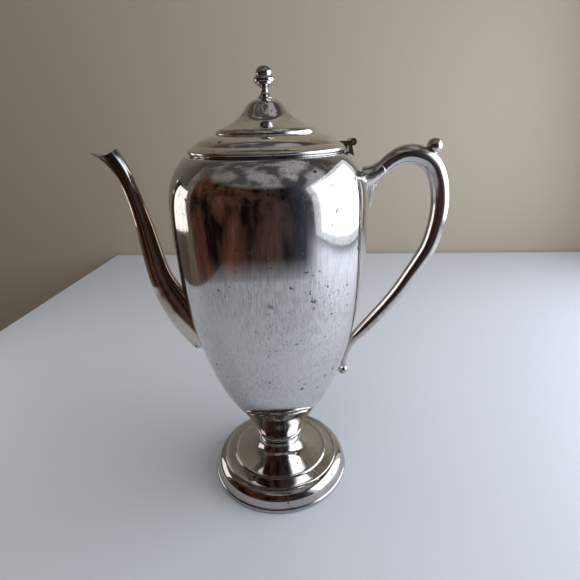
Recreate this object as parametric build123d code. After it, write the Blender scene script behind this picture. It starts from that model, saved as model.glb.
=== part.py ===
from build123d import *
import os

# Silver-plated pedestal coffee pot with a hinged lid.
# Millimetres. The pot's axis is Z and the foot stands on z = 0.
# The handle is on +X and the spout on -X.

# Foot, spun from sheet on a heavier base ring
foot_radius = 48.4
foot_rim_height = 3.6
foot_rim_width = 4.4
foot_wall = 1.2
foot_shell_inset = 0.9
ovolo_top_radius = 40.8
ovolo_height = 10.0
ovolo_bulge = 2.0
step_inner_radius = 32.1
step_rise = 2.1
cove_rise = 8.9
# how the cove leaves the step and how late it turns upright, as shares of its spread and rise
cove_start = (0.47, 0.28)
cove_end = 0.25
foot_bead_width = 1.4
foot_bead_bulge = 0.6

# Collar between the foot and the body
neck_radius = 12.9
collar_height = 9.2
collar_top_radius = 15.9
collar_bore = 10.6
collar_bead_radius = 0.9
collar_hollow = 0.4

# Mouth of the body, with its soldered ring
mouth_radius = 41.4
mouth_ring_width = 2.6
mouth_ring_height = 0.7
shoulder_ledge = 1.6

# Vase-shaped body
body_wall = 1.2
belly_radius = 58.5
belly_rise = 158.2
shoulder_rise = 33.2
# how the vase swells from the collar to the belly: share of the rise, share of the swell
vase_swell = [
    (0.077, 0.134), (0.153, 0.294), (0.235, 0.485),
    (0.362, 0.673), (0.545, 0.859), (0.772, 0.974),
]
# how the shoulder turns in from the belly to the mouth: share of the rise, share of the swell left
shoulder_turn = [(0.33, 0.945), (0.66, 0.66), (0.83, 0.39)]

# Strainer pierced behind the spout
strainer_hole_radius = 1.5
strainer_pitch = 6.0
strainer_rows = 5
strainer_drop = 66.0

# Spout. Each station gives its outer edge and its inner edge, as (distance out from the
# belly, height above the belly), and how round it is. The first lies inside the body.
spout_wall = 1.2
spout_stations = [
    ((-12.0, -90.0), (-9.5, -50.0), 0.56),
    ((2.0, -79.0), (-4.0, -48.0), 0.68),
    ((9.2, -67.9), (-0.9, -45.9), 0.80),
    ((14.8, -56.3), (1.7, -43.1), 0.90),
    ((17.7, -45.8), (3.8, -39.1), 0.95),
    ((19.3, -35.6), (5.9, -33.5), 0.98),
    ((20.9, -21.3), (8.4, -21.0), 0.98),
    ((22.4, -6.0), (11.7, -5.0), 0.98),
    ((23.5, 3.4), (14.0, 4.2), 0.98),
    ((27.2, 19.7), (18.6, 22.2), 0.98),
    ((31.4, 27.9), (22.5, 31.6), 0.98),
    ((42.0, 38.2), (30.5, 42.5), 0.98),
]
# the mouth is a hollow curve: the place of its centre and its radius
spout_mouth_centre = (34.2, 45.9)
spout_mouth_radius = 11.3

# Handle. Its path is in (distance out from the belly, height above the belly).
handle_path = [
    (9.5, 23.2), (21.5, 29.8), (37.5, 24.4), (44.9, 3.0),
    (40.1, -27.5), (23.6, -55.1), (7.4, -74.4),
]
handle_widths = [8.8, 10.8, 11.6, 11.2, 10.2, 9.0, 8.2]
handle_roundness = 0.98
handle_pad_drop = 93.0
handle_pad_width = 5.4
handle_sink = 0.4
handle_tail_drop = 110.5
handle_tail_width = 3.8
handle_tail_offset = 4.6
tail_ball_radius = 3.4
tail_ball_sink = 0.7
thumb_ball_radius = 4.5
thumb_ball_place = (38.8, 34.0)

# Drop-shaped socket between the shoulder and the handle. Each station gives its upper edge and
# its lower edge, like the spout's, and how round it is. The first lies inside the body.
socket_stations = [
    ((-8.0, 25.2), (-0.3, -2.6), 0.39),
    ((-4.8, 24.6), (1.9, -1.7), 0.43),
    ((-0.4, 23.9), (4.6, 8.2), 0.70),
]

# Lid, spun from sheet. Widths go in from its rim, heights go up from its underside.
lid_wall = 1.1
lid_gap = 0.3
lid_overhang = 1.6
lid_rim_wall = 2.0
lid_rim_height = 2.0
lid_rim_bulge = 0.8
lid_roll_width = 4.7
lid_roll_height = 4.0
lid_roll_bulge = 0.3
lid_dome_width = 12.3
lid_dome_height = 9.4
lid_dome_bulge = 1.1
lid_ring_width = 3.7
lid_ring_height = 12.9
lid_ring_bulge = 1.1
lid_top_radius = 4.7
lid_height = 27.4
# how the bell rises from the ring to the top: share of the rise, share of the spread left
lid_bell = [(0.11, 0.817), (0.25, 0.634), (0.44, 0.468), (0.655, 0.337), (0.80, 0.257), (0.94, 0.129)]

# Bezel that drops into the mouth
bezel_clearance = 0.8
bezel_wall = 1.0
bezel_depth = 3.2
bezel_flange = 0.9

# Finial, turned, with its stud and nut
finial_height = 16.4
finial_base_radius = 4.2
finial_base_height = 0.7
finial_stem_radius = 1.8
finial_cup_radius = 5.75
finial_cap_radius = 4.5
finial_notch_radius = 4.1
finial_notch_rise = 0.70
finial_lip = 0.4
# how the stem swells into the cup: share of the height, share of the swell
finial_swell = [(0.15, 0.16), (0.25, 0.0), (0.335, 0.16), (0.40, 0.54), (0.47, 0.87), (0.567, 1.0)]
stud_radius = 1.5
nut_width = 6.0
nut_height = 2.4
stud_end = 0.8

# Hinge
hinge_reach = 3.1
hinge_rise = 3.7
barrel_radius = 2.0
pin_radius = 1.0
pin_running_fit = 0.05
pin_head = 0.5
middle_knuckle_length = 4.6
outer_knuckle_length = 2.4
knuckle_gap = 0.3
bracket_depth = 8.0
bracket_foot = 1.7
bracket_neck = 0.6
bracket_lid_gap = 0.6
leaf_reach = 8.4
leaf_rise = 0.5

# Radii and heights that follow
ovolo_top = foot_rim_height + ovolo_height
step_top = ovolo_top + step_rise
foot_top = step_top + cove_rise
collar_top = foot_top + collar_height
belly_z = collar_top + belly_rise
shoulder_top = belly_z + shoulder_rise
mouth_top = shoulder_top + mouth_ring_height
mouth_ring_radius = mouth_radius + mouth_ring_width
shoulder_edge_radius = mouth_ring_radius + shoulder_ledge
lid_z = mouth_top + lid_gap
lid_rim_radius = mouth_ring_radius + lid_overhang
lid_roll_radius = lid_rim_radius - lid_roll_width
lid_dome_radius = lid_roll_radius - lid_dome_width
lid_bell_radius = lid_dome_radius - lid_ring_width
lid_top = lid_z + lid_height
bezel_radius = mouth_radius - bezel_clearance
hinge_x = lid_rim_radius + hinge_reach
hinge_z = lid_z + hinge_rise
knuckle_span = middle_knuckle_length + 2 * (outer_knuckle_length + knuckle_gap)


def at(radius, height):
    return Vector(radius, 0, height)


def lines(*places):
    return Polyline(*[at(*place) for place in places]).edges()


def arc(start, end, bulge):
    # arc between two places, bulging to the right of its direction of travel
    start, end = at(*start), at(*end)
    along = (end - start).normalized()
    middle = (start + end) * 0.5 + Vector(along.Z, 0, -along.X) * bulge
    return ThreePointArc(start, middle, end)


def inset(curve, wall, start=0.0, steps=8):
    # the inner skin of a wall whose outer outline is the curve
    places = []
    for step in range(steps + 1):
        share = start + (1 - start) * step / steps
        along = curve % share
        places.append(curve @ share + Vector(-along.Z, 0, along.X) * wall)
    return Spline(*places)


def joined(*curves):
    # the curves end to end, with short lines across the gaps
    edges = []
    for curve in curves:
        if edges and (edges[-1] @ 1 - curve @ 0).length > 0.001:
            edges.append(Line(edges[-1] @ 1, curve @ 0))
        edges.append(curve)
    return edges


def turned(edges):
    # solid turned about the pot's axis from a closed outline
    return revolve(Face(Wire(edges)), Axis.Z)


def closed(edges, *corners):
    # the outline closed through the corners
    places = [edges[-1] @ 1] + [at(*corner) for corner in corners] + [edges[0] @ 0]
    return edges + Polyline(*places).edges()


def walled(outer, inner, top, bottom):
    # closed outline of a wall: up its outside, over the top corners, down its inside
    # and back through the bottom corners
    over = [outer[-1] @ 1] + [at(*corner) for corner in top] + [inner[-1] @ 1]
    under = [inner[0] @ 0] + [at(*corner) for corner in bottom] + [outer[0] @ 0]
    return outer + Polyline(*over).edges() + inner[::-1] + Polyline(*under).edges()


def oval(first, second, roundness, wall=0.0):
    # oval section between two edges of a tube, or of its bore when a wall is taken off
    half = (second - first).length / 2
    facing = (second - first).cross(Vector(0, 1, 0))
    place = Plane(origin=(first + second) * 0.5, x_dir=(0, 1, 0), z_dir=facing)
    return place * Ellipse(roundness * half - wall, half - wall)


def largest(shape):
    return shape.solids().sort_by(SortBy.VOLUME)[-1]


def body_curve():
    swell = belly_radius - collar_top_radius
    turn = belly_radius - shoulder_edge_radius
    places = [(collar_top_radius, collar_top)]
    for rise, out in vase_swell:
        places.append((collar_top_radius + out * swell, collar_top + rise * belly_rise))
    places.append((belly_radius, belly_z))
    for rise, left in shoulder_turn:
        places.append((shoulder_edge_radius + left * turn, belly_z + rise * shoulder_rise))
    places.append((shoulder_edge_radius, shoulder_top))
    return Spline(*[at(*place) for place in places])


def body_radius(height):
    # outer radius of the body at a height, found by halving
    curve = body_curve()
    low, high = 0.0, 1.0
    for _ in range(30):
        middle = (low + high) / 2
        if (curve @ middle).Z < height:
            low = middle
        else:
            high = middle
    return (curve @ low).X


def body_solid():
    return turned(closed([body_curve()], (0, shoulder_top), (0, collar_top)))


def make_foot_rim():
    inner = foot_radius - foot_rim_width
    half = foot_rim_height / 2
    side = arc((foot_radius - half, 0), (foot_radius - half, foot_rim_height), half)
    return turned(closed([side], (inner, foot_rim_height), (inner, 0)))


def make_foot_shell():
    edge = foot_radius - foot_shell_inset
    ovolo = arc((edge, foot_rim_height), (ovolo_top_radius, ovolo_top), ovolo_bulge)
    high_ring = arc(
        (ovolo_top_radius, ovolo_top), (ovolo_top_radius - foot_bead_width, ovolo_top), foot_bead_bulge
    )
    low_ring = arc(
        (step_inner_radius + foot_bead_width, step_top), (step_inner_radius, step_top), foot_bead_bulge
    )
    step = Line(ovolo @ 1, low_ring @ 1)
    spread = step_inner_radius - neck_radius
    cove = Bezier(
        low_ring @ 1,
        at(neck_radius + cove_start[0] * spread, step_top + cove_start[1] * cove_rise),
        at(neck_radius, step_top + cove_end * cove_rise),
        at(neck_radius, foot_top),
    )
    outer = joined(ovolo, high_ring, low_ring, cove)
    inner = joined(
        inset(ovolo, foot_wall, start=0.1), inset(step, foot_wall, steps=1), inset(cove, foot_wall)
    )
    return turned(walled(outer, inner, [], [(edge - foot_wall, foot_rim_height)]))


def make_neck_collar():
    size = collar_bead_radius
    low = arc((neck_radius, foot_top), (neck_radius, foot_top + 2 * size), size)
    high_start = (collar_top_radius - size, collar_top - 2 * size)
    flare = arc((neck_radius, foot_top + 2 * size), high_start, -collar_hollow)
    high = arc(high_start, (collar_top_radius, collar_top), size)
    return turned(closed(joined(low, flare, high), (collar_bore, collar_top), (collar_bore, foot_top)))


def make_body_shell():
    skin = inset(body_curve(), body_wall, start=0.012, steps=16)
    lip = [(mouth_radius, shoulder_top), (mouth_radius, shoulder_top - body_wall)]
    floor = [(0, (skin @ 0).Z), (0, collar_top)]
    shell = turned(walled([body_curve()], [skin], lip, floor))
    middle = (strainer_rows - 1) / 2
    for row in range(strainer_rows):
        count = 2 + row % 2
        for column in range(count):
            across = (column - (count - 1) / 2) * strainer_pitch
            up = belly_z - strainer_drop + (row - middle) * strainer_pitch
            hole = Cylinder(strainer_hole_radius, belly_radius, rotation=(0, 90, 0))
            shell -= Pos(-belly_radius, across, up) * hole
    return shell


def make_mouth_ring():
    half = mouth_ring_height / 2
    side = arc((mouth_ring_radius - half, shoulder_top), (mouth_ring_radius - half, mouth_top), half)
    return turned(closed([side], (mouth_radius, mouth_top), (mouth_radius, shoulder_top)))


def spout_loft(wall):
    rings = []
    for outer, inner, roundness in spout_stations:
        low = at(-belly_radius - outer[0], belly_z + outer[1])
        high = at(-belly_radius - inner[0], belly_z + inner[1])
        rings.append(oval(low, high, roundness, wall))
    return loft(rings[:2]) + loft(rings[1:])


def make_spout():
    spout = spout_loft(0) - spout_loft(spout_wall) - body_solid()
    centre = at(-belly_radius - spout_mouth_centre[0], belly_z + spout_mouth_centre[1])
    mouth = Cylinder(spout_mouth_radius, belly_radius, rotation=(90, 0, 0))
    return largest(spout - Pos(*centre) * mouth)


def handle_curve():
    places = [at(belly_radius + out, belly_z + up) for out, up in handle_path]
    pad = belly_z - handle_pad_drop
    places.append(at(body_radius(pad) + handle_pad_width / 2 - handle_sink, pad))
    tail = belly_z - handle_tail_drop
    places.append(at(body_radius(tail) + handle_tail_offset, tail))
    return Spline(*places), places


def handle_ring(path, place, width):
    across = Plane(origin=place, x_dir=(0, 1, 0), z_dir=path % path.param_at_point(place))
    return across * Ellipse(handle_roundness * width / 2, width / 2)


def make_handle():
    path, places = handle_curve()
    widths = handle_widths + [handle_pad_width, handle_tail_width]
    rings = [handle_ring(path, place, width) for place, width in zip(places, widths)]
    return loft(rings) - body_solid()


def make_tail_ball(handle):
    path, _ = handle_curve()
    place = path @ 1 + path % 1 * (tail_ball_radius - tail_ball_sink)
    return Pos(*place) * Sphere(tail_ball_radius) - handle


def make_thumb_ball(handle):
    out, up = thumb_ball_place
    place = at(belly_radius + out, belly_z + up)
    neck = Pos(*(place - at(0, thumb_ball_radius))) * Cylinder(thumb_ball_radius / 2, thumb_ball_radius)
    return largest(Pos(*place) * Sphere(thumb_ball_radius) + neck - handle)


def make_handle_socket(handle, bracket):
    rings = []
    for upper, lower, roundness in socket_stations:
        high = at(belly_radius + upper[0], belly_z + upper[1])
        low = at(belly_radius + lower[0], belly_z + lower[1])
        rings.append(oval(high, low, roundness))
    path, places = handle_curve()
    rings.append(handle_ring(path, places[0], handle_widths[0]))
    return largest(loft(rings) - body_solid() - handle - bracket)


def lid_outline():
    edge = lid_rim_radius - lid_rim_bulge
    rim = arc((edge, lid_z), (edge, lid_z + lid_rim_height), lid_rim_bulge)
    crease = (lid_roll_radius, lid_z + lid_roll_height)
    roll = arc((edge, lid_z + lid_rim_height), crease, lid_roll_bulge)
    ring_foot = (lid_dome_radius, lid_z + lid_dome_height)
    dome = arc(crease, ring_foot, lid_dome_bulge)
    foot = at(lid_bell_radius, lid_z + lid_ring_height)
    ring = arc(ring_foot, (foot.X, foot.Z), lid_ring_bulge)
    spread = lid_bell_radius - lid_top_radius
    places = [foot]
    for rise, left in lid_bell:
        places.append(at(lid_top_radius + left * spread, foot.Z + rise * (lid_top - foot.Z)))
    bell = Spline(*places, at(lid_top_radius, lid_top))
    return [rim, roll, dome, ring, bell]


def make_lid_shell():
    outer = lid_outline()
    rim, roll, dome, ring, bell = outer
    inner = joined(
        inset(roll, lid_wall, start=0.3), inset(dome, lid_wall), inset(bell, lid_wall, steps=12)
    )
    edge = lid_rim_radius - lid_rim_wall
    top = [(stud_radius, lid_top), (stud_radius, (inner[-1] @ 1).Z)]
    bottom = [(edge, (inner[0] @ 0).Z), (edge, lid_z)]
    return turned(walled(outer, inner, top, bottom))


def make_lid_bezel():
    inner = bezel_radius - bezel_wall
    edge = lid_rim_radius - lid_rim_wall
    low = lid_z - bezel_depth
    high = lid_z + bezel_flange
    tube = [(inner, low), (bezel_radius, low), (bezel_radius, lid_z)]
    flange = [(edge, lid_z), (edge, high), (inner, high)]
    return turned(lines(*tube, *flange, tube[0]))


def make_finial():
    notch = lid_top + finial_notch_rise * finial_height
    half = finial_base_height / 2
    edge = finial_base_radius - half
    disc = arc((edge, lid_top), (edge, lid_top + finial_base_height), half)
    swell = finial_cup_radius - finial_stem_radius
    places = []
    for rise, share in finial_swell:
        places.append(at(finial_stem_radius + share * swell, lid_top + rise * finial_height))
    stem = Spline(disc @ 1, *places, at(finial_notch_radius, notch))
    lip = Line(stem @ 1, at(finial_cap_radius, notch + finial_lip))
    top = at(0, lid_top + finial_height)
    cap = Spline(
        lip @ 1,
        at(0.85 * finial_cap_radius, (notch + top.Z) / 2),
        top,
        tangents=((0, 0, 1), (-1, 0, 0)),
    )
    stud_bottom = lid_top - lid_wall - nut_height - stud_end
    stud = [(0, stud_bottom), (stud_radius, stud_bottom), (stud_radius, lid_top)]
    return turned(closed([disc, stem, lip, cap], *stud))


def make_finial_nut():
    nut = extrude(RegularPolygon(nut_width / 2, 6, major_radius=False), nut_height)
    return Pos(0, 0, lid_top - lid_wall - nut_height) * (nut - Cylinder(stud_radius, 3 * nut_height))


def barrel(radius, length, centre=0.0):
    return Pos(hinge_x, centre, hinge_z) * Cylinder(radius, length, rotation=(90, 0, 0))


def slab(width, *places):
    return extrude(Face(Wire(lines(*places, places[0]))), width / 2, both=True)


def make_hinge_bracket():
    inner = lid_rim_radius + bracket_lid_gap
    low = shoulder_top - bracket_depth
    neck = (hinge_x - bracket_neck, hinge_z - barrel_radius - knuckle_gap)
    web = [(inner, low), (hinge_x + bracket_foot, low), neck]
    bracket = slab(knuckle_span, *web, (inner, neck[1]))
    ear = slab(outer_knuckle_length, *web, (neck[0], hinge_z), (inner, hinge_z))
    reach = (outer_knuckle_length + middle_knuckle_length) / 2 + knuckle_gap
    for side in (-1, 1):
        bracket += Pos(0, side * reach, 0) * ear + barrel(barrel_radius, outer_knuckle_length, side * reach)
    return bracket - barrel(pin_radius, 2 * knuckle_span) - body_solid()


def make_hinge_pin():
    return barrel(pin_radius, knuckle_span + 2 * pin_head)


def make_hinge_leaf():
    knuckle = barrel(barrel_radius, middle_knuckle_length)
    low = hinge_z - barrel_radius
    high = hinge_z + leaf_rise
    end = hinge_x - leaf_reach
    leaf = slab(middle_knuckle_length, (end, low), (hinge_x, low), (hinge_x, high), (end, high))
    lid = turned(closed(lid_outline(), (0, lid_top), (0, lid_z)))
    return largest(knuckle + leaf - lid - barrel(pin_radius + pin_running_fit, 2 * knuckle_span))


handle = make_handle()
bracket = make_hinge_bracket()
pieces = {
    "foot_rim": make_foot_rim(),
    "foot_shell": make_foot_shell(),
    "neck_collar": make_neck_collar(),
    "body_shell": make_body_shell(),
    "mouth_ring": make_mouth_ring(),
    "spout": make_spout(),
    "handle": handle,
    "handle_socket": make_handle_socket(handle, bracket),
    "handle_tail_ball": make_tail_ball(handle),
    "handle_thumb_ball": make_thumb_ball(handle),
    "hinge_bracket": bracket,
    "hinge_pin": make_hinge_pin(),
    "lid_shell": make_lid_shell(),
    "lid_bezel": make_lid_bezel(),
    "hinge_leaf": make_hinge_leaf(),
    "finial": make_finial(),
    "finial_nut": make_finial_nut(),
}

os.makedirs("parts", exist_ok=True)
for name, piece in pieces.items():
    export_step(piece, f"parts/{name}.step")
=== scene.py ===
# Silver-plated pedestal coffee pot, dressed for the camera.
# Metres. The pot's axis is Z, the handle is on +X and the spout on -X.
from math import cos, radians, sin

import bpy
from mathutils import Matrix, Vector


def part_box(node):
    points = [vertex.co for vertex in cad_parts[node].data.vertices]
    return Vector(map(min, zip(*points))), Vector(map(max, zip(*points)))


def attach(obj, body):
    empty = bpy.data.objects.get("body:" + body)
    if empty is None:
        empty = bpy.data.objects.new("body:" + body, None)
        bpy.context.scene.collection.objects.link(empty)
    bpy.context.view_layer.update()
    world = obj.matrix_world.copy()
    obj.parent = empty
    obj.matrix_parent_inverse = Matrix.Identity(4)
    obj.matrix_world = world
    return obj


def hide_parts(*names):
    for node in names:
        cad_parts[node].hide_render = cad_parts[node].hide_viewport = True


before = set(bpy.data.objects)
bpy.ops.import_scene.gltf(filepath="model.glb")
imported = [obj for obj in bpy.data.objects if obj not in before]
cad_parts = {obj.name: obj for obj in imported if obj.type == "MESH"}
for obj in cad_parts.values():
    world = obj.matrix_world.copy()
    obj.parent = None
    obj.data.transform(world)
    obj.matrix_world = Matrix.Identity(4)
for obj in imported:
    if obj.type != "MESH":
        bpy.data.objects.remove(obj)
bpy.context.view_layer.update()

mm = 0.001

# Camera: how far it looks down, how far it turns to the right and how far it leans
camera_place = Vector((0, -0.25857, 0.24222))
camera_down = radians(21.553)
camera_right = radians(2.355)
camera_roll = radians(-1.705)
camera_lens = 26.69
camera_sensor = 36

# Smoothness of the pieces
turned_sides = 96
turned_levels = 2
tube_sides = 24
merge_distance = 0.001 * mm

# Sheet, and widths that the solids' boxes don't give
wall = 1.2 * mm
mouth_radius = 41.4 * mm
foot_rim_width = 4.4 * mm
# turned caps stop this share of their radius short of the axis
axis_share = 0.04

# Hollow curve that cuts the spout's mouth
spout_mouth_radius = 11.3 * mm
spout_mouth_centre = (-92.7 * mm, 0, 237.9 * mm)
spout_mouth_depth = 40 * mm


def extent(node):
    # bottom, top and radius of a turned solid
    low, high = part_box(node)
    return low[2], high[2], high[1]


def deselect():
    bpy.ops.object.select_all(action="DESELECT")


def pick(piece):
    deselect()
    piece.select_set(True)
    bpy.context.view_layer.objects.active = piece


def finish_modifier(piece, kind, **settings):
    pick(piece)
    modifier = piece.modifiers.new(kind.title(), kind)
    for setting, value in settings.items():
        setattr(modifier, setting, value)
    bpy.ops.object.modifier_apply(modifier=modifier.name)


def smooth(piece, angle=40):
    pick(piece)
    bpy.ops.object.shade_smooth_by_angle(angle=radians(angle))


def seat(piece):
    # the piece's place goes into its mesh
    pick(piece)
    bpy.ops.object.transform_apply(location=True, rotation=True, scale=True)


def clean_mesh():
    # for the mesh that is open in edit mode, which is then closed
    bpy.ops.mesh.select_all(action="SELECT")
    bpy.ops.mesh.remove_doubles(threshold=merge_distance)
    bpy.ops.mesh.normals_make_consistent(inside=False)
    bpy.ops.object.mode_set(mode="OBJECT")


def turned(name, outline, closed=True):
    # a ring is drawn up through the outline, as on a lathe: radius and height at each place
    radius, height = outline[0]
    deselect()
    bpy.ops.mesh.primitive_circle_add(vertices=turned_sides, radius=radius, location=(0, 0, height))
    piece = bpy.context.object
    piece.name = name
    seat(piece)
    bpy.ops.object.mode_set(mode="EDIT")
    bpy.ops.mesh.select_all(action="SELECT")
    rest = outline[1:] + outline[:1] if closed else outline[1:]
    for next_radius, next_height in rest:
        bpy.ops.mesh.extrude_edges_move(TRANSFORM_OT_translate={"value": (0, 0, next_height - height)})
        share = next_radius / radius
        bpy.ops.transform.resize(value=(share, share, 1), center_override=(0, 0, next_height))
        radius, height = next_radius, next_height
    if not closed:
        bpy.ops.mesh.edge_face_add()
    clean_mesh()
    finish_modifier(piece, "SUBSURF", levels=turned_levels, render_levels=turned_levels)
    smooth(piece)
    return piece


def drawn(name, route, capped=True):
    # a round tube drawn along a route of (x, z, width) in millimetres
    curve = bpy.data.curves.new(name, "CURVE")
    curve.dimensions = "3D"
    curve.resolution_u = 10
    curve.bevel_depth = 1
    curve.bevel_resolution = tube_sides // 4
    curve.use_fill_caps = capped
    spline = curve.splines.new("BEZIER")
    spline.bezier_points.add(len(route) - 1)
    for point, (x, z, width) in zip(spline.bezier_points, route):
        point.co = (x * mm, 0, z * mm)
        point.radius = width * mm / 2
        point.handle_left_type = "AUTO"
        point.handle_right_type = "AUTO"
    spline.radius_interpolation = "CARDINAL"
    piece = bpy.data.objects.new(name, curve)
    bpy.context.collection.objects.link(piece)
    pick(piece)
    bpy.ops.object.convert(target="MESH")
    piece = bpy.context.object
    bpy.ops.object.mode_set(mode="EDIT")
    clean_mesh()
    smooth(piece)
    return piece


def cut_away(piece, tool):
    finish_modifier(piece, "BOOLEAN", operation="DIFFERENCE", object=tool, solver="EXACT")
    bpy.data.objects.remove(tool)


def heights(pairs, low, high, radius):
    # an outline from shares of a radius and of a rise
    return [(share_r * radius, low + share_z * (high - low)) for share_r, share_z in pairs]


def inset(outline, width, drop):
    # the way back down inside a sheet
    return [(radius - width, height - drop) for radius, height in reversed(outline)]


# Turned pieces. Outlines go from the bottom outside, over the top and down inside.

body_low, body_high, belly = extent("body_shell")
lid_low, lid_high, lid_radius = extent("lid_shell")


def body_outline():
    outside = heights([
        (0.0400, 0.000), (0.2300, 0.000), (0.2640, 0.000), (0.2735, 0.004), (0.2950, 0.022),
        (0.3430, 0.055), (0.4180, 0.098), (0.5030, 0.137), (0.5860, 0.174), (0.6650, 0.225),
        (0.7500, 0.292), (0.8330, 0.378), (0.9000, 0.465), (0.9520, 0.560), (0.9830, 0.660),
        (0.9970, 0.755), (1.0010, 0.832), (0.9960, 0.876), (0.9790, 0.911), (0.9480, 0.938),
        (0.9020, 0.963), (0.8450, 0.986), (0.8030, 0.997), (0.7830, 1.000), (0.7750, 1.000),
    ], body_low, body_high, belly)
    return outside + [(mouth_radius, body_high)]


def make_body():
    outside = body_outline()
    floor = body_low + 2.2 * wall
    inside = [(mouth_radius, body_high - wall)] + inset(outside[5:-3], wall, 0.4 * wall)
    inside += [(0.26 * belly, floor + wall), (0.2 * belly, floor), (axis_share * belly, floor)]
    return turned("body", outside + inside)


def make_foot_rim():
    low, high, out = extent("foot_rim")
    tall = high - low
    inner = out - foot_rim_width
    return turned("foot_base_ring", [
        (inner, low), (out - 0.5 * tall, low), (out - 0.3 * tall, low + 0.02 * tall),
        (out - 0.06 * tall, low + 0.2 * tall), (out, low + 0.5 * tall),
        (out - 0.06 * tall, low + 0.8 * tall), (out - 0.3 * tall, low + 0.98 * tall),
        (out - 0.5 * tall, high), (inner, high), (inner, low + 0.5 * tall),
    ])


def make_foot():
    low, high, out = extent("foot_shell")
    outside = heights([
        (0.9760, 0.000), (0.9990, 0.000), (1.0000, 0.020), (0.9970, 0.130), (0.9830, 0.250),
        (0.9550, 0.350), (0.9150, 0.425), (0.8800, 0.462), (0.8640, 0.470), (0.8600, 0.478),
        (0.8560, 0.496), (0.8420, 0.504), (0.8300, 0.492), (0.8230, 0.486), (0.7900, 0.498),
        (0.7150, 0.545), (0.7050, 0.555), (0.6980, 0.585), (0.6850, 0.600), (0.6730, 0.588),
        (0.6650, 0.580), (0.6200, 0.594), (0.5200, 0.636), (0.4250, 0.690), (0.3500, 0.765),
        (0.3000, 0.860), (0.2760, 0.960), (0.2720, 1.000),
    ], low, high, out)
    inside = [(0.247 * out, high)] + inset(outside[3:-2], 0.6 * wall, wall)
    return turned("foot", outside + inside + [(0.975 * out, low + 0.01 * high)])


def make_collar():
    return turned("neck_collar", heights([
        (0.650, 0.00), (0.780, 0.00), (0.800, 0.01), (0.838, 0.05), (0.847, 0.10), (0.836, 0.155),
        (0.802, 0.19), (0.795, 0.22), (0.805, 0.40), (0.840, 0.60), (0.905, 0.76), (0.918, 0.79),
        (0.960, 0.81), (0.995, 0.86), (1.000, 0.91), (0.990, 0.96), (0.970, 0.99), (0.950, 1.00),
        (0.650, 1.00), (0.650, 0.50),
    ], *extent("neck_collar")))


def make_mouth_ring():
    low, high, out = extent("mouth_ring")
    tall = high - low
    return turned("mouth_ring", [
        (mouth_radius, low), (out - 0.5 * tall, low), (out - 0.1 * tall, low + 0.15 * tall),
        (out, low + 0.5 * tall), (out - 0.1 * tall, low + 0.85 * tall), (out - 0.5 * tall, high),
        (mouth_radius, high), (mouth_radius, low + 0.5 * tall),
    ])


def make_lid():
    outside = heights([
        (0.9560, 0.000), (0.9800, 0.000), (0.9920, 0.008), (1.0000, 0.036), (0.9920, 0.066),
        (0.9830, 0.074), (0.9760, 0.078), (0.9630, 0.094), (0.9410, 0.116), (0.9180, 0.136),
        (0.9020, 0.146), (0.8970, 0.149), (0.8900, 0.162), (0.8640, 0.204), (0.8330, 0.240),
        (0.7960, 0.272), (0.7430, 0.305), (0.6910, 0.326), (0.6480, 0.339), (0.6320, 0.342),
        (0.6280, 0.348), (0.6270, 0.372), (0.6180, 0.408), (0.6010, 0.440), (0.5760, 0.464),
        (0.5520, 0.472), (0.5430, 0.474), (0.5300, 0.482), (0.4680, 0.528), (0.4180, 0.569),
        (0.3840, 0.602), (0.3420, 0.653), (0.3100, 0.703), (0.2810, 0.759), (0.2520, 0.818),
        (0.2340, 0.858), (0.2170, 0.896), (0.1900, 0.942), (0.1560, 0.975), (0.1250, 0.992),
        (0.1000, 0.999), (0.0700, 1.000), (0.0400, 1.000),
    ], lid_low, lid_high, lid_radius)
    tall = lid_high - lid_low
    edge = 0.956 * lid_radius
    inside = [(axis_share * lid_radius, lid_high - wall), (0.09 * lid_radius, lid_high - wall)]
    inside += inset(outside[7:-3:2], 0.4 * wall, wall)
    inside += [(edge, lid_low + 0.055 * tall), (edge, lid_low + 0.01 * tall)]
    return turned("lid", outside + inside)


def make_finial():
    _, high, cup = extent("finial")
    return turned("finial", heights([
        (0.050, 0.000), (0.690, 0.000), (0.725, 0.008), (0.735, 0.024), (0.715, 0.042), (0.650, 0.055),
        (0.540, 0.082), (0.440, 0.125), (0.360, 0.175), (0.316, 0.240), (0.330, 0.290), (0.410, 0.335),
        (0.560, 0.375), (0.730, 0.410), (0.890, 0.460), (0.990, 0.520), (1.010, 0.575), (0.970, 0.630),
        (0.870, 0.672), (0.745, 0.694), (0.712, 0.702), (0.720, 0.712), (0.770, 0.722), (0.792, 0.742),
        (0.785, 0.790), (0.740, 0.850), (0.600, 0.925), (0.360, 0.980), (0.120, 1.000), (0.040, 1.000),
    ], lid_high, high, cup), closed=False)


# Drawn tubes, castings and balls


def make_handle():
    # down from the socket to the tail
    return drawn("handle", [
        (67.2, 214.5, 8.7), (73.0, 219.0, 9.8), (80.0, 221.8, 10.8), (89.5, 220.6, 11.6),
        (96.4, 216.2, 11.6), (100.6, 209.0, 11.4), (103.1, 199.0, 11.1), (103.6, 188.0, 10.9),
        (102.1, 176.5, 10.6), (98.6, 164.5, 10.1), (93.6, 155.4, 9.6), (87.8, 146.1, 9.1),
        (82.0, 136.9, 8.9), (74.5, 127.0, 8.6), (65.9, 117.0, 8.3), (57.4, 107.6, 7.6),
        (52.6, 102.4, 6.4), (49.3, 96.5, 5.3), (46.9, 89.0, 4.4), (46.5, 81.5, 3.8),
    ])


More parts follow.
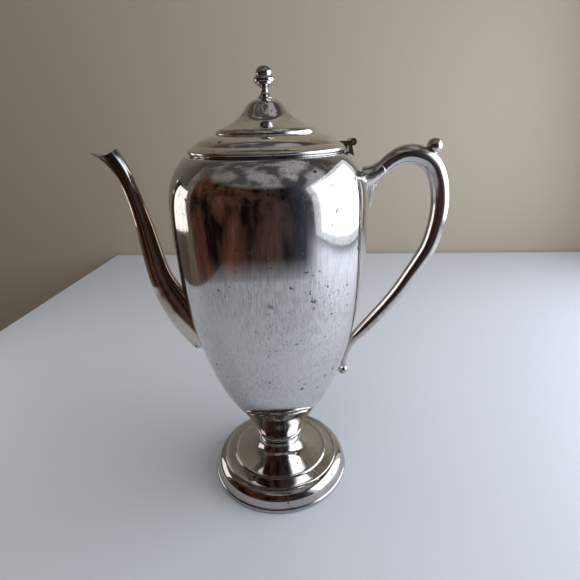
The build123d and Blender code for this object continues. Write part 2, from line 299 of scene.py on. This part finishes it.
def make_spout():
    # up from inside the body to the lip
    spout = drawn("spout", [
        (-45.0, 110.0, 23.0), (-53.5, 120.5, 22.0), (-61.5, 133.0, 19.6), (-66.8, 143.5, 17.0),
        (-69.6, 151.0, 15.1), (-71.1, 157.5, 13.6), (-73.2, 170.9, 12.4), (-75.5, 186.5, 10.8),
        (-77.3, 196.0, 9.6), (-79.4, 205.5, 9.1), (-81.8, 213.5, 9.1), (-85.6, 221.9, 9.8),
        (-90.2, 228.3, 11.2), (-94.9, 232.5, 12.4),
    ], capped=False)
    finish_modifier(spout, "SOLIDIFY", thickness=wall, offset=-1)
    deselect()
    bpy.ops.mesh.primitive_cylinder_add(
        vertices=128, radius=spout_mouth_radius, depth=spout_mouth_depth,
        location=spout_mouth_centre, rotation=(radians(90), 0, 0),
    )
    cut_away(spout, bpy.context.object)
    cut_away(spout, turned("spout_trim", body_outline() + [(axis_share * belly, body_high)]))
    finish_modifier(
        spout, "BEVEL", width=0.25 * mm, segments=3, limit_method="ANGLE", angle_limit=radians(50)
    )
    smooth(spout, 35)
    return spout


def make_socket():
    # the cast mount: a stub towards the handle and a pointed drop down the shoulder
    stub = drawn("handle_socket", [
        (53.0, 208.3, 15.2), (58.0, 209.5, 13.0), (62.8, 211.5, 10.8), (67.6, 214.9, 9.1),
    ])
    drop = drawn("socket_drop", [
        (54.5, 213.0, 7.6), (58.4, 210.0, 10.0), (60.0, 204.5, 9.0), (60.0, 198.5, 5.4),
        (59.9, 194.0, 3.4), (59.7, 190.4, 2.0),
    ])
    pick(stub)
    drop.select_set(True)
    bpy.ops.object.join()
    finish_modifier(stub, "REMESH", mode="VOXEL", voxel_size=0.4 * mm, adaptivity=0)
    finish_modifier(stub, "SMOOTH", factor=0.5, iterations=10)
    smooth(stub, 60)
    return stub


def make_ball(name, node, hung):
    # the ball is as wide as its solid, and sits at the foot of the solid's box where it is
    # hung from the handle, or else at its top
    low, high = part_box(node)
    radius = (high[1] - low[1]) / 2
    height = low[2] + radius if hung else high[2] - radius
    place = ((low[0] + high[0]) / 2, 0, height)
    deselect()
    bpy.ops.mesh.primitive_uv_sphere_add(segments=48, ring_count=24, radius=radius, location=place)
    ball = bpy.context.object
    ball.name = name
    seat(ball)
    smooth(ball)
    return ball


# Materials


class Graph:
    # short calls for the shader nodes that are used again and again

    def __init__(self, tree, source="Object"):
        self.nodes, self.links = tree.nodes, tree.links
        self.place = self.nodes.new("ShaderNodeTexCoord").outputs[source]

    def axis(self, name):
        split = self.nodes.new("ShaderNodeSeparateXYZ")
        self.links.new(self.place, split.inputs[0])
        return split.outputs[name]

    def noise(self, scale, detail, roughness=0.55, stretch=(1, 1, 1)):
        mapping = self.nodes.new("ShaderNodeMapping")
        mapping.inputs["Scale"].default_value = stretch
        self.links.new(self.place, mapping.inputs["Vector"])
        texture = self.nodes.new("ShaderNodeTexNoise")
        texture.inputs["Scale"].default_value = scale
        texture.inputs["Detail"].default_value = detail
        texture.inputs["Roughness"].default_value = roughness
        self.links.new(mapping.outputs["Vector"], texture.inputs["Vector"])
        return texture.outputs["Fac"]

    def spread(self, value, low, high, to_low=0.0, to_high=1.0):
        ramp = self.nodes.new("ShaderNodeMapRange")
        ramp.inputs["From Min"].default_value = low
        ramp.inputs["From Max"].default_value = high
        ramp.inputs["To Min"].default_value = to_low
        ramp.inputs["To Max"].default_value = to_high
        self.links.new(value, ramp.inputs["Value"])
        return ramp.outputs["Result"]

    def sums(self, kind, first, second):
        node = self.nodes.new("ShaderNodeMath")
        node.operation = kind
        for socket, value in zip(node.inputs, (first, second)):
            if isinstance(value, float):
                socket.default_value = value
            else:
                self.links.new(value, socket)
        return node.outputs[0]

    def times(self, first, second):
        return self.sums("MULTIPLY", first, second)

    def plus(self, first, second):
        return self.sums("ADD", first, second)

    def blend(self, share, first, second):
        node = self.nodes.new("ShaderNodeMix")
        node.data_type = "RGBA"
        self.links.new(share, node.inputs["Factor"])
        for socket, value in ((node.inputs["A"], first), (node.inputs["B"], second)):
            if isinstance(value, tuple):
                socket.default_value = (*value, 1)
            else:
                self.links.new(value, socket)
        return node.outputs["Result"]


def new_material(name):
    material = bpy.data.materials.new(name)
    material.use_nodes = True
    return material, material.node_tree.nodes["Principled BSDF"]


# Wear of the silver: grain of each noise, and the tones of scratches and pits
cloud_grain = 22
mottle_grain = 140
spot_grain = 520
chip_grain = 200
pit_patch_grain = 34
scratch_grain = (1250, 1250, 75)
hair_grain = (420, 420, 2600)
scratch_tone = (0.27, 0.26, 0.26)
scratch_cover = 0.58
scratch_blur = 0.06
pit_tone = (0.06, 0.05, 0.045)
pit_blur = 0.30
relief_strength = 0.25
relief_depth = 0.02 * mm


def worn_silver(name, plate, stain, stain_share, gloss, scratch=1.0, dark_above=None):
    # mirror plate, clouded with tarnish, crossed by fine upright scratches and dotted with pits
    material, shader = new_material(name)
    graph = Graph(material.node_tree)
    cloud = graph.noise(cloud_grain, 6)
    cloudy = graph.plus(graph.times(cloud, 0.7), graph.times(graph.noise(mottle_grain, 5), 0.3))
    stained = graph.spread(cloudy, 0.62 - 0.3 * stain_share, 0.78 - 0.3 * stain_share)
    stained = graph.times(stained, min(1.0, 0.35 + stain_share))
    # scratches, fewer where the cloud is thin
    streak = graph.noise(1, 3, 0.8, scratch_grain)
    hair = graph.noise(1, 2, 0.6, hair_grain)
    worn = graph.spread(cloud, 0.30, 0.58, 0.25, 1.0)
    scratched = graph.times(graph.spread(streak, 0.44, 0.66), worn)
    # pits and larger chips, gathered in patches
    spots = graph.spread(graph.noise(spot_grain, 3, 0.7), 0.65, 0.70)
    chips = graph.spread(graph.noise(chip_grain, 4, 0.7), 0.63, 0.655)
    patches = graph.spread(graph.noise(pit_patch_grain, 3), 0.46, 0.54)
    pitted = graph.sums("MAXIMUM", graph.times(spots, patches), graph.times(chips, patches))
    # colour
    colour = graph.blend(stained, plate, stain)
    colour = graph.blend(graph.times(scratched, scratch_cover * scratch), colour, scratch_tone)
    if dark_above:
        low, high, tone = dark_above
        tip = graph.spread(graph.axis("Z"), low, high, 0.0, 0.75)
        tip = graph.times(tip, graph.spread(cloud, 0.30, 0.50))
        colour = graph.blend(tip, colour, tone)
    colour = graph.blend(pitted, colour, pit_tone)
    graph.links.new(colour, shader.inputs["Base Color"])
    # gloss
    dull = graph.spread(cloudy, 0.35, 0.75, gloss, gloss + 0.06)
    dull = graph.plus(dull, graph.times(scratched, scratch_blur * scratch))
    dull = graph.plus(dull, graph.times(pitted, pit_blur))
    graph.links.new(dull, shader.inputs["Roughness"])
    shader.inputs["Metallic"].default_value = 1.0
    # relief
    relief = graph.plus(graph.times(streak, 0.6 * scratch), graph.times(hair, 0.2 * scratch))
    relief = graph.sums("SUBTRACT", relief, graph.times(pitted, 2.0))
    bump = graph.nodes.new("ShaderNodeBump")
    bump.inputs["Strength"].default_value = relief_strength
    bump.inputs["Distance"].default_value = relief_depth
    graph.links.new(relief, bump.inputs["Height"])
    graph.links.new(bump.outputs["Normal"], shader.inputs["Normal"])
    return material


def plain_brass(name):
    material, shader = new_material(name)
    graph = Graph(material.node_tree)
    cloud = graph.noise(300, 4)
    colour = graph.blend(cloud, (0.55, 0.40, 0.20), (0.30, 0.22, 0.13))
    graph.links.new(colour, shader.inputs["Base Color"])
    graph.links.new(graph.spread(cloud, 0.3, 0.7, 0.25, 0.45), shader.inputs["Roughness"])
    shader.inputs["Metallic"].default_value = 1.0
    return material


def flat_colour(name, colour, roughness):
    material, shader = new_material(name)
    shader.inputs["Base Color"].default_value = (*colour, 1)
    shader.inputs["Roughness"].default_value = roughness
    return material


# plate's tone, stain's tone, share stained, gloss
body_silver = worn_silver("body_silver", (0.70, 0.69, 0.69), (0.44, 0.41, 0.38), 0.20, 0.03)
# foot, base ring and neck collar: heavier tarnish in the stain, and a plate darker than the body's as
# painted shade for the dark room these low parts reflect
foot_tarnished_and_shaded_silver = worn_silver("foot_tarnished_and_shaded_silver", (0.52, 0.50, 0.49), (0.22, 0.19, 0.17), 0.32, 0.03, 0.4)
lid_silver = worn_silver("lid_silver", (0.72, 0.70, 0.68), (0.44, 0.40, 0.36), 0.20, 0.03, 0.5)
handle_silver = worn_silver("handle_silver", (0.58, 0.55, 0.53), (0.28, 0.23, 0.19), 0.40, 0.08, 0.5)
finial_silver = worn_silver("finial_silver", (0.54, 0.51, 0.50), (0.22, 0.18, 0.16), 0.40, 0.06, 0.4)
hinge_silver = worn_silver("hinge_silver", (0.58, 0.56, 0.54), (0.30, 0.26, 0.23), 0.40, 0.12, 0.5)
# the spout turns blue-black from one height to another
spout_silver = worn_silver(
    "spout_silver", (0.72, 0.66, 0.59), (0.36, 0.26, 0.19), 0.40, 0.07, 0.5,
    dark_above=(195 * mm, 222 * mm, (0.10, 0.12, 0.15)),
)
pin_brass = plain_brass("pin_brass")


def dress(piece, material, body, node):
    piece.data.materials.clear()
    piece.data.materials.append(material)
    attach(piece, body)
    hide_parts(node)


def paint(node, material):
    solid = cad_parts[node]
    for place in solid.material_slots:
        place.material = material
    if not solid.material_slots:
        solid.data.materials.append(material)


dress(make_body(), body_silver, "pot", "body_shell")
# the foot pieces carry painted shade in their darker plate, besides their tarnish
dress(make_foot_rim(), foot_tarnished_and_shaded_silver, "pot", "foot_rim")
dress(make_foot(), foot_tarnished_and_shaded_silver, "pot", "foot_shell")
dress(make_collar(), foot_tarnished_and_shaded_silver, "pot", "neck_collar")
dress(make_mouth_ring(), body_silver, "pot", "mouth_ring")
dress(make_spout(), spout_silver, "pot", "spout")
dress(make_handle(), handle_silver, "pot", "handle")
dress(make_socket(), handle_silver, "pot", "handle_socket")
dress(make_ball("tail_ball", "handle_tail_ball", True), handle_silver, "pot", "handle_tail_ball")
dress(make_ball("thumb_ball", "handle_thumb_ball", False), handle_silver, "pot", "handle_thumb_ball")
dress(make_lid(), lid_silver, "lid", "lid_shell")
dress(make_finial(), finial_silver, "lid", "finial")

paint("hinge_bracket", hinge_silver)
paint("hinge_leaf", hinge_silver)
paint("lid_bezel", lid_silver)
paint("hinge_pin", pin_brass)
paint("finial_nut", pin_brass)


# Table, wall and light

stage_reach = 2.5
# the table's back edge runs from its corner behind the spout, a little askew to the pot
table_left = -0.72
table_corner = (-0.309, 0.585, 0)
table_back_right = (1.0, 0.43, 0)
table_right_end = (stage_reach, 0.25, 0)
wall_foot, wall_top = -0.7, 2
wall_left = (-stage_reach, 0.85)
wall_right = (stage_reach, 0.26)


def stage_sheet(name, corners, colour, roughness):
    mesh = bpy.data.meshes.new(name)
    mesh.from_pydata(corners, [], [tuple(range(len(corners)))])
    mesh.materials.append(flat_colour(name, colour, roughness))
    sheet = bpy.data.objects.new(name, mesh)
    bpy.context.collection.objects.link(sheet)


stage_sheet("floor", [
    (table_left, -stage_reach, 0), (stage_reach, -stage_reach, 0), table_right_end,
    table_back_right, table_corner,
], (0.515, 0.545, 0.61), 0.5)
stage_sheet("wall", [
    (*wall_left, wall_foot), (*wall_right, wall_foot), (*wall_right, wall_top), (*wall_left, wall_top),
], (0.405, 0.352, 0.292), 0.6)


def lamp(name, place, look, size_x, size_y, power, colour, in_mirror=True):
    data = bpy.data.lights.new(name, "AREA")
    data.shape = "RECTANGLE"
    data.size, data.size_y = size_x, size_y
    data.energy = power
    data.color = colour
    light = bpy.data.objects.new(name, data)
    bpy.context.collection.objects.link(light)
    light.location = place
    light.rotation_euler = (Vector(look) - Vector(place)).to_track_quat("-Z", "Y").to_euler()
    light.visible_glossy = in_mirror


# the lamps look at the pot's shoulder, or at its foot from above
shoulder = (0, 0, 0.20)
lamp("window", (0.52, -0.04, 0.29), shoulder, 0.66, 0.50, 3.1, (0.93, 0.97, 1.0))
lamp("window_glow", (0.54, -0.04, 0.30), shoulder, 0.94, 0.60, 1.5, (0.86, 0.93, 1.0))
lamp("left_window", (-0.42, 0.17, 0.20), shoulder, 0.24, 0.22, 0.24, (1.0, 0.96, 0.90))
lamp("ceiling", (0.1, -0.2, 1.3), (0, 0, 0), 1.2, 1.2, 8.0, (1.0, 0.98, 0.95), in_mirror=False)


# Unlit side of the room, a curved screen round the front of the pot
dark_reach = 0.40
dark_height = 0.56
dark_start = radians(-90)
dark_end = radians(50)
dark_steps = 24
dark_tone = (0.006, 0.004, 0.004)


def make_dark_room():
    turns = [dark_start + (dark_end - dark_start) * step / dark_steps for step in range(dark_steps + 1)]
    low = [(dark_reach * sin(turn), -dark_reach * cos(turn), 0) for turn in turns]
    high = [(x, y, dark_height) for x, y, _ in low]
    faces = [
        (step, step + 1, step + dark_steps + 2, step + dark_steps + 1) for step in range(dark_steps)
    ]
    mesh = bpy.data.meshes.new("dark_room")
    mesh.from_pydata(low + high, [], faces)
    screen = bpy.data.objects.new("dark_room", mesh)
    bpy.context.collection.objects.link(screen)
    # brown to its left, blue towards the window, with near-black patches
    material, shader = new_material("dark_room")
    graph = Graph(material.node_tree)
    across, up = graph.axis("X"), graph.axis("Z")
    tone = graph.spread(graph.noise(1, 3, 0.6, (9, 9, 5)), 0.36, 0.66)
    brown = graph.spread(across, 0.10, -0.30)
    warm = graph.blend(brown, (0.070, 0.050, 0.044), (0.130, 0.052, 0.032))
    glow = graph.blend(tone, dark_tone, warm)
    glow = graph.blend(graph.spread(across, 0.10, 0.34), glow, (0.065, 0.080, 0.125))
    graph.links.new(glow, shader.inputs["Emission Color"])
    shader.inputs["Emission Strength"].default_value = 1.0
    shader.inputs["Base Color"].default_value = (0, 0, 0, 1)
    shader.inputs["Roughness"].default_value = 1.0
    shader.inputs["Specular IOR Level"].default_value = 0.0
    # soft at its top and foot, and at the end towards the window
    top = graph.spread(up, dark_height, dark_height - 0.09)
    foot = graph.spread(up, 0.0, 0.05, 0.3, 1.0)
    right_end = dark_reach * sin(dark_end)
    right = graph.spread(across, right_end, right_end - 0.08)
    graph.links.new(graph.times(graph.times(top, foot), right), shader.inputs["Alpha"])
    mesh.materials.append(material)
    # seen only in the silver
    screen.visible_camera = False
    screen.visible_diffuse = False
    screen.visible_shadow = False
    screen.visible_transmission = False


def make_world():
    # a dim room, lighter upwards and towards the window; the camera sees plain pale in its stead
    world = bpy.data.worlds.new("room")
    bpy.context.scene.world = world
    world.use_nodes = True
    world.node_tree.nodes.clear()
    graph = Graph(world.node_tree, "Generated")
    up = graph.spread(graph.axis("Z"), -0.1, 0.8)
    side = graph.spread(graph.axis("X"), -0.6, 0.9)
    low = graph.blend(side, (0.10, 0.075, 0.055), (0.22, 0.22, 0.23))
    high = graph.blend(side, (0.16, 0.145, 0.125), (0.36, 0.36, 0.37))
    plain = graph.blend(up, low, high)
    # broad soft patches, so that curved silver doesn't read as evenly grey
    patches = graph.spread(graph.noise(2.6, 2, 0.5), 0.44, 0.56)
    room = graph.nodes.new("ShaderNodeBackground")
    graph.links.new(graph.blend(patches, (0.055, 0.050, 0.048), plain), room.inputs["Color"])
    room.inputs["Strength"].default_value = 1.4
    pale = graph.nodes.new("ShaderNodeBackground")
    pale.inputs["Color"].default_value = (0.62, 0.60, 0.57, 1)
    path = graph.nodes.new("ShaderNodeLightPath")
    mix = graph.nodes.new("ShaderNodeMixShader")
    graph.links.new(path.outputs["Is Camera Ray"], mix.inputs["Fac"])
    graph.links.new(room.outputs[0], mix.inputs[1])
    graph.links.new(pale.outputs[0], mix.inputs[2])
    output = graph.nodes.new("ShaderNodeOutputWorld")
    graph.links.new(mix.outputs[0], output.inputs["Surface"])


def make_camera():
    data = bpy.data.cameras.new("camera")
    data.lens = camera_lens
    data.sensor_width = camera_sensor
    data.clip_start = 0.01
    camera = bpy.data.objects.new("camera", data)
    bpy.context.collection.objects.link(camera)
    ahead = Vector((
        sin(camera_right) * cos(camera_down), cos(camera_right) * cos(camera_down), -sin(camera_down),
    ))
    right = Vector((cos(camera_right), -sin(camera_right), 0))
    up = right.cross(ahead)
    tilted_right = cos(camera_roll) * right + sin(camera_roll) * up
    tilted_up = -sin(camera_roll) * right + cos(camera_roll) * up
    turn = Matrix((tilted_right, tilted_up, -ahead)).transposed()
    camera.matrix_world = Matrix.Translation(camera_place) @ turn.to_4x4()
    bpy.context.scene.camera = camera


make_dark_room()
make_world()
make_camera()
bpy.context.scene.view_settings.view_transform = "Standard"
